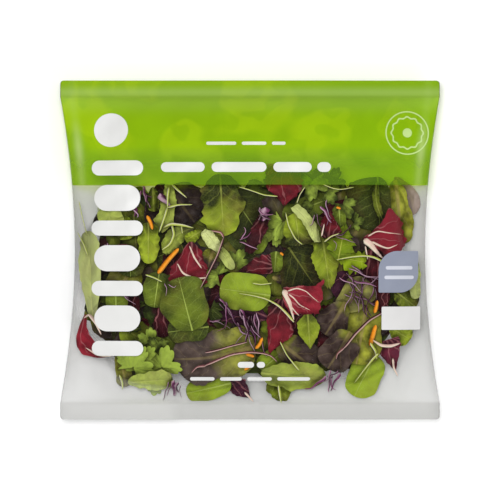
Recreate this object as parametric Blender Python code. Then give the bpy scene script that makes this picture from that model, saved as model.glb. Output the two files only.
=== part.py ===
"""A sealed pillow bag of mixed salad leaves, lying on its back with the printed side up.

The bag is one flattened tube of clear film. Both ends are heat sealed into flat strips, a lap
seam runs down the back, and the leaves inside push the front into a crown. Metres, +Z up, +Y
towards the bag's top seal, origin on the floor under the middle of the bag.
"""

import math

import bmesh
import bpy

MM = 0.001

# Flat bag
FLAT_WIDTH = 280 * MM  # across the end seals
BAG_LENGTH = 250 * MM  # from seal edge to seal edge
SEAL_DEPTH = 12 * MM  # of each heat sealed strip
SEAL_THICKNESS = 1.2 * MM
CORNER_RADIUS = 2.5 * MM

# Filled bag
WAIST_PULL = 11 * MM  # how far each side draws in at mid length
WAIST_POWER = 1.9
MIDDLE_HEIGHT = 28 * MM  # of the side folds above the floor, at mid length
SEAL_HEIGHT = 19 * MM  # of the end seals above the floor
FRONT_CROWN = 40 * MM  # of the front film above the side folds
BACK_BELLY = 40 * MM  # what the back film would hang if the floor didn't stop it
FLOOR_BLEND = 3 * MM  # half the height over which the back film turns flat
END_POWER, END_EASE = 2.2, 0.75  # how the thickness falls off towards the seals
SIDE_POWER, SIDE_EASE = 2.4, 0.62  # and towards the side folds

# Wrinkles
PUCKER_PITCH = 28 * MM
PUCKER_HEIGHT = 2.0 * MM
PUCKER_REACH = 12 * MM  # from the seal to the deepest point of a pucker
BULGE_PITCH = 46 * MM
BULGE_HEIGHT = 1.3 * MM
SEAL_WAVE = 1.1 * MM

# Lap seam down the back
SEAM_EDGES = (-3 * MM, 9 * MM)
SEAM_HEIGHT = 1.2 * MM
SEAM_BEVEL = 0.6 * MM

# Mesh
FRONT_COLUMNS = 52
BACK_COLUMNS = 52
BODY_STATIONS = 34

SEAL_LINE = BAG_LENGTH / 2 - SEAL_DEPTH


def along(y):
    """How far y lies from mid length towards a seal's inner edge: 0 to 1."""
    return min(abs(y) / SEAL_LINE, 1.0)


def half_width(y):
    """Half the bag's width at y, with its drawn-in waist and its rounded seal corners."""
    width = FLAT_WIDTH / 2 - WAIST_PULL * (1 - along(y) ** WAIST_POWER)
    into_corner = abs(y) - (BAG_LENGTH / 2 - CORNER_RADIUS)
    if into_corner > 0:
        width -= CORNER_RADIUS - math.sqrt(max(CORNER_RADIUS**2 - into_corner**2, 0))
    return width


def fold_height(x, y):
    """Height of the surface that the side folds and the seals lie in."""
    height = SEAL_HEIGHT + (MIDDLE_HEIGHT - SEAL_HEIGHT) * (1 - along(y) ** 2)
    wave = math.sin(2 * math.pi * x / FLAT_WIDTH * 1.5 + math.copysign(0.9, y))
    return height + SEAL_WAVE * wave * along(y) ** 3


def fullness(share, y):
    """Share of the full crown at a place across (-1 to 1) and along the bag."""
    ends = (1 - along(y) ** END_POWER) ** END_EASE
    sides = (1 - abs(share) ** SIDE_POWER) ** SIDE_EASE
    return ends * sides


def puckers(x, y):
    """Creases that fan out of an end seal into the body."""
    inside = SEAL_LINE - abs(y)
    if inside <= 0:
        return 0.0
    reach = inside / PUCKER_REACH
    spread = 1 + 0.35 * inside / SEAL_LINE
    phase = 2 * math.pi * x / (PUCKER_PITCH * spread)
    drift = 1.4 * math.sin(2 * math.pi * x / (4.3 * PUCKER_PITCH) + math.copysign(1.1, y))
    return PUCKER_HEIGHT * reach * math.exp(1 - reach) * math.sin(phase + drift)


def bulges(x, y):
    """Soft lumps where leaves press on the film."""
    turn = 2 * math.pi / BULGE_PITCH
    first = math.sin(turn * (x + 0.4 * y)) * math.sin(turn * (0.8 * y - 0.2 * x) + 0.7)
    second = math.sin(turn * 1.7 * (x - 0.6 * y) + 2.1) * math.cos(turn * 1.3 * y + 0.4)
    return BULGE_HEIGHT * (0.6 * first + 0.4 * second)


def seam(x):
    """Share of the lap seam's height at x, with a short slope at each edge."""
    left, right = SEAM_EDGES
    inside = min(x - left, right - x)
    return min(max(inside / SEAM_BEVEL + 1, 0.0), 1.0)


def above_floor(height):
    """The height, eased to exactly 0 where the film lies on the floor."""
    if height >= FLOOR_BLEND:
        return height
    return max(height + FLOOR_BLEND, 0.0) ** 2 / (4 * FLOOR_BLEND)


def front_height(x, y):
    share = max(-1.0, min(x / half_width(y), 1.0))
    full = fullness(share, y)
    sheet = SEAL_THICKNESS / 2 * (1 - abs(share) ** SIDE_POWER) ** SIDE_EASE
    relief = (puckers(x, y) + bulges(x, y)) * min(full * 2.5, 1.0)
    return fold_height(x, y) + sheet + FRONT_CROWN * full + relief


def back_height(x, y):
    share = max(-1.0, min(x / half_width(y), 1.0))
    full = fullness(share, y)
    sheet = SEAL_THICKNESS / 2 * (1 - abs(share) ** SIDE_POWER) ** SIDE_EASE
    relief = puckers(-x, y) * min(full * 2.5, 1.0)
    height = fold_height(x, y) - sheet - BACK_BELLY * full - relief
    return above_floor(height - SEAM_HEIGHT * seam(x) * (1 - abs(share) ** 4))


def eased_steps(count):
    """Shares from -1 to 1, closer together towards both ends, without the last one."""
    return [(2 * i / count - 1 - math.cos(math.pi * i / count)) / 2 for i in range(count)]


def ring_shares():
    """(share across, is front) for each point of one ring of the tube.

    The front runs left to right and the back right to left. The back has extra columns on
    the lap seam's edges.
    """
    front = [(share, True) for share in eased_steps(FRONT_COLUMNS)]
    left, right = SEAM_EDGES
    half = half_width(0)
    edges = [left - SEAM_BEVEL, left, right, right + SEAM_BEVEL]
    edges = [edge / half for edge in edges]
    plain = [
        share
        for share in eased_steps(BACK_COLUMNS)[1:]
        if min(abs(share - edge) for edge in edges) > 2.5 * MM / half
    ]
    back = sorted(plain + edges + [1.0], reverse=True)
    return front + [(share, False) for share in back]


def stations():
    """The places along the bag where the tube has a ring."""
    end = BAG_LENGTH / 2
    corner = [end, end - 0.35 * CORNER_RADIUS, end - CORNER_RADIUS]
    strip = [SEAL_LINE + SEAL_DEPTH / 2, SEAL_LINE]
    body = [SEAL_LINE * share for share in eased_steps(BODY_STATIONS)[1:]]
    low = [-place for place in corner + strip]
    return low + body + [-place for place in reversed(low)]


def film_point(share, is_front, y):
    x = share * half_width(y)
    height = front_height(x, y) if is_front else back_height(x, y)
    return x, y, height


def build_tube():
    """A cylinder whose rings are flattened into the bag's cross-sections, both ends closed."""
    ring, places = ring_shares(), stations()
    shape = bmesh.new()
    bmesh.ops.create_cone(
        shape,
        cap_ends=True,
        segments=len(ring),
        radius1=1,
        radius2=1,
        depth=len(places) - 1,
    )
    lengthwise = [e for e in shape.edges if abs(e.verts[0].co.z - e.verts[1].co.z) > 0.5]
    bmesh.ops.subdivide_edges(shape, edges=lengthwise, cuts=len(places) - 2)
    step = 2 * math.pi / len(ring)
    for vert in shape.verts:
        column = round(math.atan2(vert.co.y, vert.co.x) / step) % len(ring)
        station = round(vert.co.z + (len(places) - 1) / 2)
        share, is_front = ring[column]
        vert.co = film_point(share, is_front, places[station])
    return shape


def film_material():
    material = bpy.data.materials.new("printed_film")
    material.use_nodes = True
    shader = material.node_tree.nodes["Principled BSDF"]
    shader.inputs["Base Color"].default_value = (0.27, 0.45, 0.03, 1)
    shader.inputs["Roughness"].default_value = 0.25
    shader.inputs["Metallic"].default_value = 0.0
    return material


def clear_scene():
    for obj in list(bpy.data.objects):
        bpy.data.objects.remove(obj)


def build():
    clear_scene()
    group = bpy.data.collections.new("salad_leaf_bag")
    bpy.context.scene.collection.children.link(group)
    shape = build_tube()
    mesh = bpy.data.meshes.new("salad_bag")
    shape.to_mesh(mesh)
    shape.free()
    mesh.shade_smooth()
    mesh.materials.append(film_material())
    bag = bpy.data.objects.new("salad_bag", mesh)
    group.objects.link(bag)


build()
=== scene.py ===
"""Looks of a sealed clear pillow bag of mixed salad leaves: its film, its print and every leaf in it.

Lengths are millimetres and angles are degrees until a mesh is made. The bag lies on its back, so +Z is
out of its front and +Y runs towards its top seal. Leaves are drawn flat and then laid under the film.
"""

import math

import bpy
import numpy as np
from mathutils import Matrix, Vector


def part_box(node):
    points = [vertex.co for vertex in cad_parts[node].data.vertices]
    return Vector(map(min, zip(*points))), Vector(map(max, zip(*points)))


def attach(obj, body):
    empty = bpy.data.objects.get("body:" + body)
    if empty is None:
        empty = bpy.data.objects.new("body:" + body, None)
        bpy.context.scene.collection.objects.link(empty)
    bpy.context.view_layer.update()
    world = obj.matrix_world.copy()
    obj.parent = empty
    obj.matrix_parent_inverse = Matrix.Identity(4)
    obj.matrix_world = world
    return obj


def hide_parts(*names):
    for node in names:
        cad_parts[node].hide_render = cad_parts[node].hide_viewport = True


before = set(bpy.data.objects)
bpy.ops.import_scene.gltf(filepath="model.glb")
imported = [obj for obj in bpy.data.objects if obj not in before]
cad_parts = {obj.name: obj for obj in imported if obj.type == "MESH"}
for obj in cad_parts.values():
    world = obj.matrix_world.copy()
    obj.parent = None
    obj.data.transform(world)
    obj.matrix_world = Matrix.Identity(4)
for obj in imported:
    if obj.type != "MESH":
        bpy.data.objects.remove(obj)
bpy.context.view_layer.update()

MM = 0.001
BODY = "root"
TURN = 2 * math.pi

# The bag, as its solid is made
BAG_LOW, BAG_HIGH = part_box("salad_bag")
FLAT_WIDTH = (BAG_HIGH.x - BAG_LOW.x) / MM
BAG_LENGTH = (BAG_HIGH.y - BAG_LOW.y) / MM
SEAL_DEPTH = 12
SEAL_LINE = BAG_LENGTH / 2 - SEAL_DEPTH
SEAL_THICKNESS = 1.2
CORNER_RADIUS = 2.5
WAIST_PULL, WAIST_POWER = 11, 1.9
MIDDLE_HEIGHT, SEAL_HEIGHT = 28, 19
FRONT_CROWN, BACK_BELLY, FLOOR_BLEND = 40, 40, 3
END_POWER, END_EASE = 2.2, 0.75
SIDE_POWER, SIDE_EASE = 2.4, 0.62
PUCKER_PITCH, PUCKER_HEIGHT, PUCKER_REACH = 28, 1.0, 12
BULGE_PITCH, BULGE_HEIGHT = 46, 1.3
SEAL_WAVE = 1.1
SEAM_EDGES, SEAM_HEIGHT, SEAM_BEVEL = (-3, 9), 1.2, 0.6

# Print
BAND_EDGE = 47.6  # lower edge of the green band
PRINT_LIFT = 0.14  # of the ink above the film
COLUMN_X = -97  # of the tall white column
RIM_SHADE = (0.87, 0.87, 0.87, 1)  # painted shade: share of light that passes one sheet right at the bag's outline

# Heap of leaves
HEAP_CENTRE = (-2, -22.5)
HEAP_HALF = (125, 79)
HEAP_POWER = 3.4
CORNER_LEAN, CORNER_REACH = 1.6, 254  # of the lines that cut its bottom corners off
HEAP_DENTS = ((129, 10, 14), (-130, 34, 15))  # x, y and reach of bare places at its sides
LEAF_GAP = 1.1  # between the film and the topmost leaves
LAYER_GAP = 1.1  # between leaves that lie on each other
CORE_DEPTH = 17  # of the core under the film, dark with painted shade


# ---------------------------------------------------------------- shape of the film


def along(y):
    """How far y lies from mid length towards a seal's inner edge: 0 to 1."""
    return np.minimum(np.abs(y) / SEAL_LINE, 1)


def half_width(y):
    """Half the bag's width at y, with its drawn-in waist and rounded seal corners."""
    width = FLAT_WIDTH / 2 - WAIST_PULL * (1 - along(y) ** WAIST_POWER)
    into_corner = np.clip(np.abs(y) - (BAG_LENGTH / 2 - CORNER_RADIUS), 0, CORNER_RADIUS)
    return width - CORNER_RADIUS + np.sqrt(CORNER_RADIUS**2 - into_corner**2)


def fold_height(x, y):
    """Height of the surface that the side folds and the seals lie in."""
    height = SEAL_HEIGHT + (MIDDLE_HEIGHT - SEAL_HEIGHT) * (1 - along(y) ** 2)
    wave = np.sin(TURN * 1.5 * x / FLAT_WIDTH + np.copysign(0.9, y))
    return height + SEAL_WAVE * wave * along(y) ** 3


def fullness(share, y):
    """Share of the full crown, from the place across (-1 to 1) and y."""
    ends = (1 - along(y) ** END_POWER) ** END_EASE
    return ends * (1 - np.abs(share) ** SIDE_POWER) ** SIDE_EASE


def puckers(x, y):
    """Creases that fan out of an end seal into the body."""
    inside = np.maximum(SEAL_LINE - np.abs(y), 0)
    reach = inside / PUCKER_REACH
    phase = TURN * x / (PUCKER_PITCH * (1 + 0.35 * inside / SEAL_LINE))
    drift = 1.4 * np.sin(TURN * x / (4.3 * PUCKER_PITCH) + np.copysign(1.1, y))
    return PUCKER_HEIGHT * reach * np.exp(1 - reach) * np.sin(phase + drift)


def bulges(x, y):
    """Soft lumps where leaves press on the film."""
    turn = TURN / BULGE_PITCH
    first = np.sin(turn * (x + 0.4 * y)) * np.sin(turn * (0.8 * y - 0.2 * x) + 0.7)
    second = np.sin(turn * 1.7 * (x - 0.6 * y) + 2.1) * np.cos(turn * 1.3 * y + 0.4)
    return BULGE_HEIGHT * (0.6 * first + 0.4 * second)


def cross_section(x, y):
    """(share across, fullness, half thickness of the joined sheets) at a place."""
    share = np.clip(x / half_width(y), -1, 1)
    sheet = SEAL_THICKNESS / 2 * (1 - np.abs(share) ** SIDE_POWER) ** SIDE_EASE
    return share, fullness(share, y), sheet


def front_height(x, y):
    """Height of the front film."""
    _, full, sheet = cross_section(x, y)
    relief = (puckers(x, y) + bulges(x, y)) * np.minimum(full * 2.5, 1)
    return fold_height(x, y) + sheet + FRONT_CROWN * full + relief


def back_height(x, y):
    """Height of the back film, flat where it lies on the floor."""
    share, full, sheet = cross_section(x, y)
    relief = puckers(-x, y) * np.minimum(full * 2.5, 1)
    seam = np.clip(np.minimum(x - SEAM_EDGES[0], SEAM_EDGES[1] - x) / SEAM_BEVEL + 1, 0, 1)
    height = fold_height(x, y) - sheet - BACK_BELLY * full - relief
    height = height - SEAM_HEIGHT * seam * (1 - share**4)
    eased = np.maximum(height + FLOOR_BLEND, 0) ** 2 / (4 * FLOOR_BLEND)
    return np.where(height >= FLOOR_BLEND, height, eased)


def waves(x, y, pitch, seed, count=8):
    """A smooth random field of about -1 to 1: plane waves near one pitch in seeded directions."""
    draw = np.random.default_rng(seed)
    total = 0
    for _ in range(count):
        heading, phase = draw.uniform(0, TURN, 2)
        rate = TURN / (pitch * draw.uniform(0.7, 1.4))
        total = total + np.sin(rate * (x * math.cos(heading) + y * math.sin(heading)) + phase)
    return total / math.sqrt(count)


def creases(x, y, seed=5):
    """Fine wrinkles of the film, strongest next to the end seals and at the side folds."""
    _, full, _ = cross_section(x, y)
    near_seal = np.exp(-np.maximum(SEAL_LINE - np.abs(y), 0) / 20)
    fan = np.sin(TURN * x / 9.5 + 2.0 * waves(x, y, 70, seed))
    ridges = 1 - np.abs(waves(x, y * 0.45, 30, seed + 1)) * 1.6
    drawn = 0.2 * near_seal * fan + 0.2 * np.clip(ridges, 0, 1) + 0.04 * waves(x, y, 9, seed + 2)
    return drawn * np.clip(full * 3, 0, 1)


def film_front(x, y):
    """Height of the front film with its fine wrinkles."""
    full = cross_section(x, y)[1]
    return front_height(x, y) + creases(x, y) - 0.3 * np.clip(full * 4, 0, 1)


def film_back(x, y):
    """Height of the back film with its fine wrinkles, never under the floor."""
    full = cross_section(x, y)[1]
    raised = np.clip(back_height(x, y) / 4, 0, 1) * np.clip(full * 4, 0, 1)
    return back_height(x, y) + (creases(x, y, 25) + 0.2) * raised


def heap_share(x, y):
    """0 in the middle of the heap of leaves and 1 at its outline."""
    wobble = 1 + 0.04 * waves(x, y, 60, 71)
    across = np.abs((x - HEAP_CENTRE[0]) / HEAP_HALF[0])
    down = np.abs((y - HEAP_CENTRE[1]) / HEAP_HALF[1])
    round_share = (across**HEAP_POWER + down**HEAP_POWER) ** (1 / HEAP_POWER)
    share = np.maximum(round_share, (CORNER_LEAN * np.abs(x) - y) / CORNER_REACH) * wobble
    for left, up, reach in HEAP_DENTS:
        share = share + 0.4 * np.exp(-((x - left) ** 2 + (y - up) ** 2) / reach**2)
    return share


def heap_fill(x, y):
    """Share of the space between the folds and the film that leaves fill at a place."""
    return np.sqrt(np.clip((1.03 - heap_share(x, y)) / 0.14, 0, 1))


def heap_top(x, y):
    """Height that the topmost leaves reach."""
    fold = fold_height(x, y)
    return fold + (front_height(x, y) - LEAF_GAP - fold) * heap_fill(x, y)


def heap_bottom(x, y):
    """Height that the lowest leaves reach."""
    fold = fold_height(x, y)
    return fold + (back_height(x, y) + LEAF_GAP - fold) * heap_fill(x, y)


# ---------------------------------------------------------------- materials


def srgb(*levels):
    """A linear colour from display levels of 0 to 255."""
    shares = [level / 255 for level in levels]
    return [((s + 0.055) / 1.055) ** 2.4 if s > 0.04 else s / 12.92 for s in shares] + [1.0]


class Look:
    """A procedural material, written one node at a time. Each method returns the node's output."""

    def __init__(self, name):
        self.material = bpy.data.materials.new(name)
        self.material.use_nodes = True
        self.tree = self.material.node_tree
        self.tree.nodes.clear()
        self.end = self.tree.nodes.new("ShaderNodeOutputMaterial")

    def node(self, kind, inputs, output=0, **settings):
        made = self.tree.nodes.new("ShaderNode" + kind)
        for name, value in settings.items():
            setattr(made, name, value)
        for key, value in inputs.items():
            if isinstance(value, bpy.types.NodeSocket):
                self.tree.links.new(value, made.inputs[key])
            else:
                made.inputs[key].default_value = value
        return made.outputs[output]

    def maths(self, operation, first, second=0.0, third=0.0):
        return self.node("Math", {0: first, 1: second, 2: third}, operation=operation)

    def scaled(self, value, by, plus=0.0):
        return self.maths("MULTIPLY_ADD", value, by, plus)

    def ease(self, value, low, high):
        """0 below low and 1 above high, or the other way round, with a soft step between."""
        limits = {"Value": value, "From Min": low, "From Max": high}
        return self.node("MapRange", limits, interpolation_type="SMOOTHSTEP")

    def mix(self, share, first, second, blend="MIX"):
        ends = {0: share, 6: first, 7: second}
        return self.node("Mix", ends, output=2, data_type="RGBA", blend_type=blend)

    def place(self):
        """Coordinates in mm that stay with the bag."""
        coordinates = self.node("TexCoord", {}, output="Object")
        return self.node("VectorMath", {0: coordinates, 3: 1 / MM}, operation="SCALE")

    def noise(self, vector, pitch, detail=2.0, rough=0.5):
        inputs = {"Vector": vector, "Scale": 1 / pitch, "Detail": detail, "Roughness": rough}
        return self.node("TexNoise", inputs)

    def cells(self, vector, pitch, feature="DISTANCE_TO_EDGE"):
        inputs = {"Vector": vector, "Scale": 1 / pitch}
        return self.node("TexVoronoi", inputs, output="Distance", feature=feature)

    def attribute(self, name):
        """The three parts of a point attribute."""
        vector = self.node("Attribute", {}, output="Vector", attribute_name=name)
        made = self.tree.nodes.new("ShaderNodeSeparateXYZ")
        self.tree.links.new(vector, made.inputs[0])
        return vector, *made.outputs

    def shaded(self, base):
        """The colour of a leaf with painted shade: darker beside and under the leaves that lie on it."""
        shade = self.node("Attribute", {}, output="Fac", attribute_name="shade")
        return self.mix(shade, base, (0.13, 0.10, 0.10, 1), "MULTIPLY")

    def line(self, coordinate, width):
        """1 on thin lines at the whole values of a coordinate."""
        return self.ease(self.maths("PINGPONG", coordinate, 0.5), width, 0.0)

    def bump(self, height, distance, strength=1.0):
        return self.node("Bump", {"Height": height, "Distance": distance * MM, "Strength": strength})

    def matter(self, colour, rough, normal, shine=0.05):
        """The surface of a leaf or a strand, or of ink and floor."""
        inputs = {"Base Color": colour, "Roughness": rough, "Normal": normal, "Specular IOR Level": shine}
        return self.finish(self.node("BsdfPrincipled", inputs))

    def finish(self, shader):
        self.tree.links.new(shader, self.end.inputs["Surface"])
        return self.material


def gloss_over(look, body, normal, rough):
    """The soft shine of film over what it shows, stronger where it is seen at a slant."""
    slant = look.node("LayerWeight", {"Blend": 0.35, "Normal": normal}, output="Facing")
    mirror = look.scaled(look.maths("POWER", slant, 4.0), 0.5, 0.0003)
    gloss = look.node("BsdfGlossy", {"Roughness": rough, "Normal": normal})
    return look.finish(look.node("MixShader", {0: mirror, 1: body, 2: gloss}))


def film_look():
    """Clear film. Its front sheet is crisp and its back sheet a little milky, darker in the seal, with painted shade
    at its outline.
    """
    look = Look("clear_film")
    place = look.place()
    _, is_back, sealed, empty = look.attribute("tone")
    _, _, rim, _ = look.attribute("rib")
    normal = look.bump(look.noise(place, 20, 2.0, 0.5), 0.5, 0.3)
    milky = look.maths("MULTIPLY", is_back, look.scaled(empty, 0.42, 0.04))
    # painted light: where the lift raises empty past 1, both sheets get more milk
    milky = look.maths("ADD", milky, look.scaled(look.ease(empty, 1.0, 1.8), 0.16, 0.003))
    bare = look.maths("MULTIPLY", is_back, look.maths("MINIMUM", empty, 1.0))
    passed = look.mix(bare, srgb(250, 250, 250), srgb(236, 236, 234))
    passed = look.mix(sealed, passed, srgb(236, 236, 235))
    passed = look.mix(rim, passed, RIM_SHADE, "MULTIPLY")
    clear = look.node("BsdfTransparent", {"Color": passed})
    milk = look.node("BsdfDiffuse", {"Color": srgb(232, 232, 231), "Normal": normal})
    body = look.node("MixShader", {0: milky, 1: clear, 2: milk})
    return gloss_over(look, body, normal, 0.3)


def band_look():
    """Green ink that light passes, with soft tone-on-tone clouds, on glossy film, with painted highlights along its
    sides and at its top seal.
    """
    look = Look("green_band_ink")
    place = look.place()
    _, is_back, sealed, empty = look.attribute("tone")
    _, painted_highlight, rim, deep = look.attribute("rib")
    normal = look.bump(look.noise(place, 20, 2.0, 0.5), 0.5, 0.3)
    clouds = look.ease(look.noise(place, 38, 1.5, 0.4), 0.47, 0.56)
    more = look.ease(look.noise(place, 17, 1.0, 0.4), 0.5, 0.6)
    tone = look.maths("MAXIMUM", look.scaled(clouds, 0.8), look.scaled(more, 0.5))
    tone = look.maths("ADD", tone, deep)
    passed = look.mix(tone, (0.85, 0.935, 0.12, 1), (0.72, 0.87, 0.09, 1))
    front_ink = look.mix(tone, (0.28, 0.53, 0.05, 1), (0.20, 0.42, 0.035, 1))
    full_ink = look.mix(tone, (0.37, 0.585, 0.004, 1), (0.27, 0.49, 0.004, 1))
    front_ink = look.mix(look.scaled(empty, 0.9), front_ink, full_ink)
    # painted highlight: paler ink along the streaks
    front_ink = look.mix(look.scaled(painted_highlight, 0.55), front_ink, (0.64, 0.78, 0.32, 1))
    ink = look.mix(is_back, front_ink, (0.6, 0.75, 0.04, 1))
    # painted shade: darker ink in the seal evens out the brighter light there
    ink = look.mix(look.scaled(sealed, 0.28), ink, (0.10, 0.18, 0.01, 1))
    clear = look.node("BsdfTransparent", {"Color": look.mix(rim, passed, RIM_SHADE, "MULTIPLY")})
    milk = look.node("BsdfDiffuse", {"Color": ink, "Normal": normal})
    milky = look.maths("ADD", look.scaled(is_back, 0.5, 0.27), look.scaled(empty, 0.45))
    body = look.node("MixShader", {0: milky, 1: clear, 2: milk})
    return gloss_over(look, body, normal, 0.35)


def ink_look(name, colour, shade):
    """Opaque ink under gloss, with a faint mottle."""
    look = Look(name)
    place = look.place()
    base = look.mix(look.noise(place, 12, 2.0), colour, shade)
    normal = look.bump(look.noise(place, 20, 2.0, 0.5), 0.5, 0.3)
    return look.matter(base, 0.4, normal, 0.3)


def leaf_look(name, colours, spacing, slant, rib_width, rib_share=0.7, vein_share=0.35, tinge=0.2, gloss=0.6):
    """A green leaf: pale midrib, side veins that leave it at a slant, and a fine net between them."""
    light, dark, rib_colour, stalk_colour = colours
    look = Look(name)
    rib, across, down, edge = look.attribute("rib")
    _, tone, stalk, reach = look.attribute("tone")
    side = look.maths("ABSOLUTE", across)
    shift = look.scaled(look.noise(rib, 7, 2.0), 0.9)
    rise = look.maths("SUBTRACT", down, look.scaled(side, slant))
    rise = look.scaled(look.maths("MULTIPLY", side, side), 0.012, rise)
    veins = look.line(look.maths("ADD", look.scaled(rise, 1 / spacing), shift), 0.09)
    veins = look.maths("MULTIPLY", veins, look.ease(edge, 1.05, 0.45))
    half_rib = look.scaled(reach, -0.75 * rib_width, rib_width)
    midrib = look.ease(look.maths("DIVIDE", side, half_rib), 1.0, 0.45)
    net = look.ease(look.cells(rib, 2.3), 0.12, 0.0)
    cloud = look.noise(rib, 13, 2.0, 0.5)
    share = look.maths("ADD", look.scaled(cloud, 0.9, -0.45), tone)
    base = look.mix(share, dark, light)
    browned = look.scaled(look.ease(look.noise(rib, 24, 2.0), 0.47, 0.6), tinge)
    base = look.mix(browned, base, srgb(122, 100, 52))
    base = look.mix(look.scaled(net, 0.08), base, rib_colour)
    base = look.mix(look.scaled(veins, vein_share), base, rib_colour)
    base = look.mix(look.scaled(midrib, rib_share), base, rib_colour)
    base = look.shaded(look.mix(stalk, base, stalk_colour))
    puff = look.ease(look.cells(rib, 4.6), 0.0, 0.5)
    grooves = look.scaled(look.maths("MAXIMUM", midrib, look.scaled(veins, 0.7)), -0.7)
    height = look.maths("ADD", look.maths("ADD", grooves, look.scaled(puff, 0.3)), look.scaled(net, -0.15))
    normal = look.bump(height, 0.45)
    rough = look.scaled(cloud, 0.2, gloss - 0.1)
    return look.matter(base, rough, normal)


def lobed_look(name, light, dark, rib_colour):
    """A soft lobed leaf whose veins fan out of its base."""
    look = Look(name)
    rib, across, down, edge = look.attribute("rib")
    _, tone, stalk, _ = look.attribute("tone")
    fan = look.maths("ARCTAN2", across, look.maths("MAXIMUM", down, 0.5))
    wobble = look.scaled(look.noise(rib, 5, 2.0), 0.8)
    veins = look.line(look.maths("ADD", look.scaled(fan, 2.6), wobble), 0.07)
    veins = look.maths("MULTIPLY", veins, look.ease(edge, 1.0, 0.5))
    cloud = look.noise(rib, 7, 3.0, 0.6)
    share = look.maths("ADD", look.scaled(cloud, 1.4, -0.7), tone)
    base = look.mix(look.ease(share, 0.1, 0.9), dark, light)
    base = look.mix(look.scaled(veins, 0.4), base, rib_colour)
    base = look.shaded(look.mix(stalk, base, rib_colour))
    puff = look.ease(look.cells(rib, 3.0), 0.0, 0.4)
    height = look.maths("ADD", look.scaled(veins, -0.6), look.scaled(puff, 0.4))
    normal = look.bump(height, 0.4)
    return look.matter(base, 0.6, normal)


def bronze_look():
    """Red-leaf lettuce: green at its base and along its ribs, brown-purple towards its rim."""
    look = Look("bronze_lettuce")
    rib, across, down, edge = look.attribute("rib")
    _, tone, stalk, reach = look.attribute("tone")
    side = look.maths("ABSOLUTE", across)
    cloud = look.noise(rib, 14, 3.0, 0.6)
    wobble = look.scaled(look.noise(rib, 9, 2.0), 1.3)
    rise = look.maths("SUBTRACT", down, look.scaled(side, 1.3))
    veins = look.line(look.maths("ADD", look.scaled(rise, 1 / 11), wobble), 0.06)
    midrib = look.ease(look.maths("DIVIDE", side, look.scaled(reach, -1.6, 2.4)), 1.0, 0.4)
    turned = look.maths("ADD", look.scaled(reach, 1.5), look.scaled(edge, 0.3))
    turned = look.maths("ADD", turned, look.scaled(cloud, 1.6, -1.5))
    turned = look.ease(look.maths("ADD", turned, tone), 0.1, 0.9)
    green = look.mix(look.ease(cloud, 0.3, 0.7), srgb(84, 84, 26), srgb(172, 176, 58))
    bronze = look.mix(look.ease(look.noise(rib, 9, 2.0), 0.3, 0.7), srgb(45, 31, 28), srgb(85, 70, 63))
    base = look.mix(turned, green, bronze)
    ribs = look.maths("MAXIMUM", look.scaled(midrib, 0.6), look.scaled(veins, 0.35))
    ribs = look.maths("MULTIPLY", ribs, look.scaled(turned, -0.6, 1.0))
    base = look.mix(ribs, base, srgb(170, 152, 92))
    base = look.shaded(look.mix(stalk, base, srgb(186, 168, 156)))
    puff = look.ease(look.cells(rib, 6.0), 0.0, 0.5)
    height = look.maths("ADD", look.scaled(ribs, -0.8), look.scaled(puff, 0.5))
    normal = look.bump(height, 0.6)
    return look.matter(base, 0.5, normal, 0.08)


def radicchio_look():
    """Radicchio: wine red, with white veins that fan out of a thick white base."""
    look = Look("radicchio")
    rib, across, down, edge = look.attribute("rib")
    _, tone, stalk, reach = look.attribute("tone")
    away = look.scaled(down, 1.0, 5.0)
    fan = look.maths("DIVIDE", across, away)
    wobble = look.scaled(look.noise(rib, 13, 2.0), 1.0)
    place = look.maths("ADD", look.scaled(fan, 2.3), look.maths("ADD", wobble, tone))
    width = look.maths("DIVIDE", look.scaled(reach, -0.9, 1.5), away)
    veins = look.maths("DIVIDE", look.maths("PINGPONG", place, 0.5), look.scaled(width, 1.2))
    veins = look.ease(veins, 1.2, 0.5)
    threads = look.line(look.maths("ADD", look.scaled(fan, 11), look.scaled(wobble, 4)), 0.12)
    cloud = look.noise(rib, 9, 3.0, 0.6)
    share = look.maths("ADD", look.scaled(cloud, 1.0, -0.5), tone)
    base = look.mix(look.ease(share, 0.1, 0.9), srgb(58, 18, 24), srgb(144, 38, 51))
    base = look.mix(look.scaled(stalk, -1.0), base, srgb(72, 36, 58))
    base = look.mix(look.scaled(threads, 0.06), base, srgb(190, 90, 100))
    base = look.mix(look.scaled(veins, 0.3), base, srgb(214, 140, 140))
    base = look.shaded(look.mix(stalk, base, srgb(240, 226, 204)))
    height = look.maths("ADD", look.scaled(veins, 0.6), look.scaled(cloud, 0.8))
    normal = look.bump(height, 0.5)
    return look.matter(base, 0.55, normal)


def strand_look(name, dark, light, painted_highlight, gloss=0.4, pale_from=0.45):
    """A cut strand: colour runs along it, paler on one side as a painted highlight."""
    look = Look(name)
    rib, across, down, edge = look.attribute("rib")
    _, tone, _, _ = look.attribute("tone")
    streaks = look.noise(rib, 3.0, 2.0)
    base = look.mix(look.ease(look.maths("ADD", tone, look.scaled(streaks, 0.8, -0.4)), 0.2, 0.8), dark, light)
    base = look.mix(look.scaled(look.ease(edge, pale_from, pale_from + 0.4), 0.75), base, painted_highlight)
    base = look.shaded(base)
    normal = look.bump(streaks, 0.3)
    return look.matter(base, gloss, normal)


def core_look():
    """The inside of the heap in painted shade: leaf colours of every kind, painted dark."""
    look = Look("painted_shade_core")
    place = look.place()
    cloud = look.noise(place, 12, 3.0, 0.6)
    other = look.noise(place, 21, 2.0, 0.5)
    base = look.mix(look.ease(cloud, 0.4, 0.6), srgb(40, 46, 20), srgb(64, 78, 30))
    base = look.mix(look.ease(other, 0.5, 0.6), base, srgb(56, 26, 28))
    normal = look.bump(look.noise(place, 4, 4.0, 0.6), 2.0)
    return look.matter(base, 0.6, normal)


# ---------------------------------------------------------------- meshes


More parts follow.
